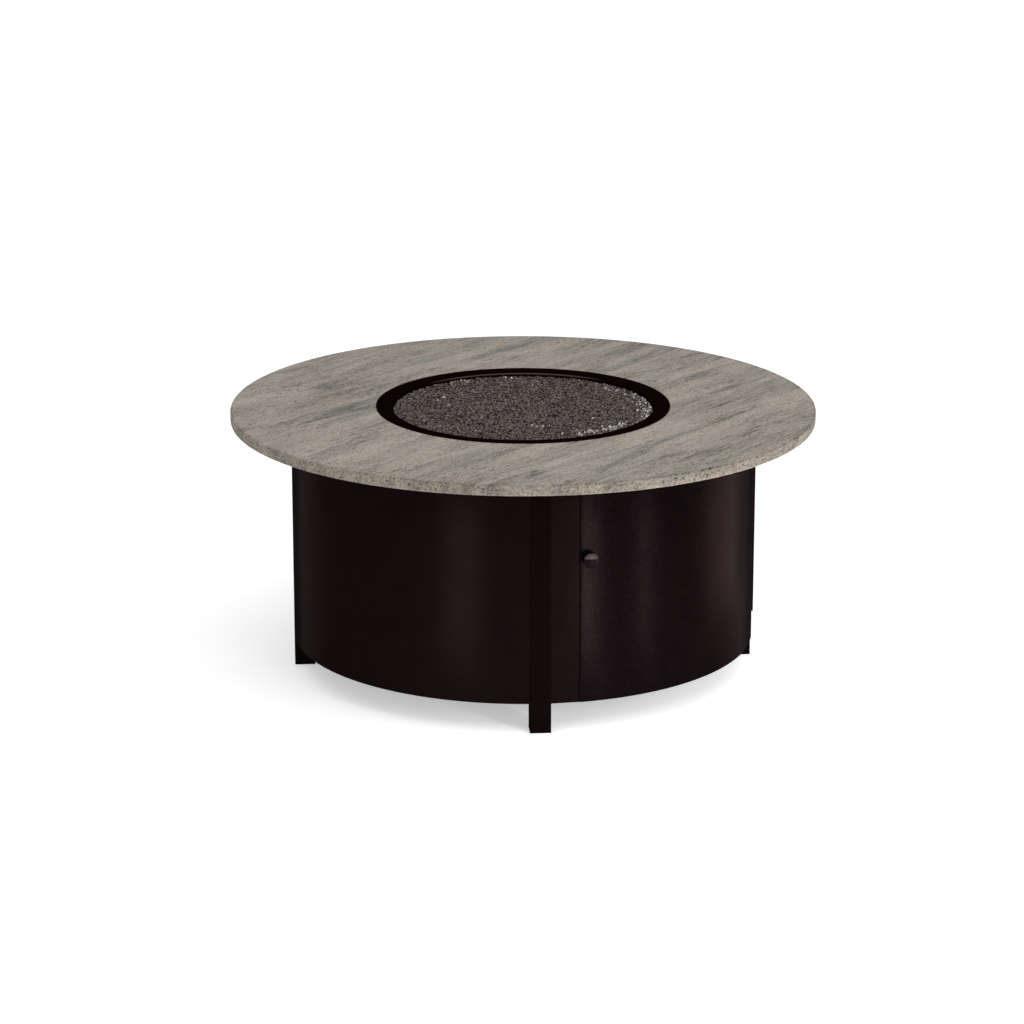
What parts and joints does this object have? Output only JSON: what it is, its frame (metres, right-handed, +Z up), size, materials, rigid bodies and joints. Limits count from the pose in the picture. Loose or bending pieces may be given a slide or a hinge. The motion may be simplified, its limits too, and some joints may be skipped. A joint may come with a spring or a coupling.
{
  "type": "fire pit table",
  "caption": "Round gas fire pit table: stone-look top round a dished burner pan of crushed glass, on a dark metal drum with square posts and a hinged door.",
  "frame": {"origin": "on the floor under the centre of the round top", "axes": "+Z up, -Y through the front post, +X through the right post; the door lies between them"},
  "size_m": [1.3716, 1.3716, 0.6244],
  "materials": {
    "stone_composite": "matt cast stone composite, pitted and streaked in warm grey",
    "bronze_powder_coat": "satin dark bronze powder coat on steel",
    "fire_glass": "crushed tempered glass, brown grey",
    "stainless_steel": "plain stainless steel",
    "zinc_steel": "zinc plated steel",
    "brass_fitting": "machined brass",
    "black_plastic": "moulded black plastic",
    "black_rubber": "black rubber",
    "ceramic": "glazed white ceramic"
  },
  "bodies": {
    "root": {"arm_back": "bronze_powder_coat", "arm_front": "bronze_powder_coat", "arm_left": "bronze_powder_coat", "arm_right": "bronze_powder_coat", "bottom_rail_back": "bronze_powder_coat", "bottom_rail_door": "bronze_powder_coat", "bottom_rail_left": "bronze_powder_coat", "bottom_rail_right": "bronze_powder_coat", "burner_feet": "stainless_steel", "burner_inlet": "brass_fitting", "burner_pan": "bronze_powder_coat", "burner_ring": "stainless_steel", "control_panel": "bronze_powder_coat", "door_magnet": "black_plastic", "fire_glass": "fire_glass", "gas_hose": "black_rubber", "gas_inlet": "brass_fitting", "gas_valve": "brass_fitting", "hinge_frame_leaf": "bronze_powder_coat", "hinge_pin": "stainless_steel", "hole_ring": "bronze_powder_coat", "igniter_body": "black_plastic", "igniter_electrode": "ceramic", "igniter_lead": "black_rubber", "igniter_nut": "zinc_steel", "pan_locknut": "brass_fitting", "panel_screws": "zinc_steel", "post_back": "bronze_powder_coat", "post_feet": "black_plastic", "post_front": "bronze_powder_coat", "post_left": "bronze_powder_coat", "post_right": "bronze_powder_coat", "post_top_plates": "bronze_powder_coat", "shelf": "bronze_powder_coat", "shelf_screws": "zinc_steel", "skin_back": "bronze_powder_coat", "skin_left": "bronze_powder_coat", "skin_right": "bronze_powder_coat", "stone_top": "stone_composite", "strip_hinge_side": "bronze_powder_coat", "strip_latch_side": "bronze_powder_coat", "tank_ring": "bronze_powder_coat", "top_bolts": "zinc_steel", "top_pads": "black_rubber", "top_rail_back": "bronze_powder_coat", "top_rail_door": "bronze_powder_coat", "top_rail_left": "bronze_powder_coat", "top_rail_right": "bronze_powder_coat"},
    "door": {"door_skin": "bronze_powder_coat", "door_rib_bottom": "bronze_powder_coat", "door_rib_middle": "bronze_powder_coat", "door_rib_top": "bronze_powder_coat", "hinge_door_leaf": "bronze_powder_coat", "door_knob": "bronze_powder_coat", "knob_screw": "zinc_steel", "strike_plate": "zinc_steel"},
    "valve_dial": {"valve_stem": "brass_fitting", "valve_knob": "black_plastic"},
    "igniter_button": {"igniter_button": "black_plastic"}
  },
  "joints": [
    {"name": "door_hinge", "type": "hinge", "parent": "root", "child": "door", "pos_m": [0.53755, -0.09044, 0.36], "axis": [0, 0, 1], "range_deg": [0, 120]},
    {"name": "valve_turn", "type": "hinge", "parent": "root", "child": "valve_dial", "pos_m": [0.14196, -0.4485, 0.5256], "axis": [0.342, -0.9397, 0], "range_deg": [0, 90]},
    {"name": "igniter_press", "type": "slide", "parent": "root", "child": "igniter_button", "axis": [-0.342, 0.9397, 0], "range_m": [0, 0.004], "stiffness_N_per_m": 800}
  ]
}
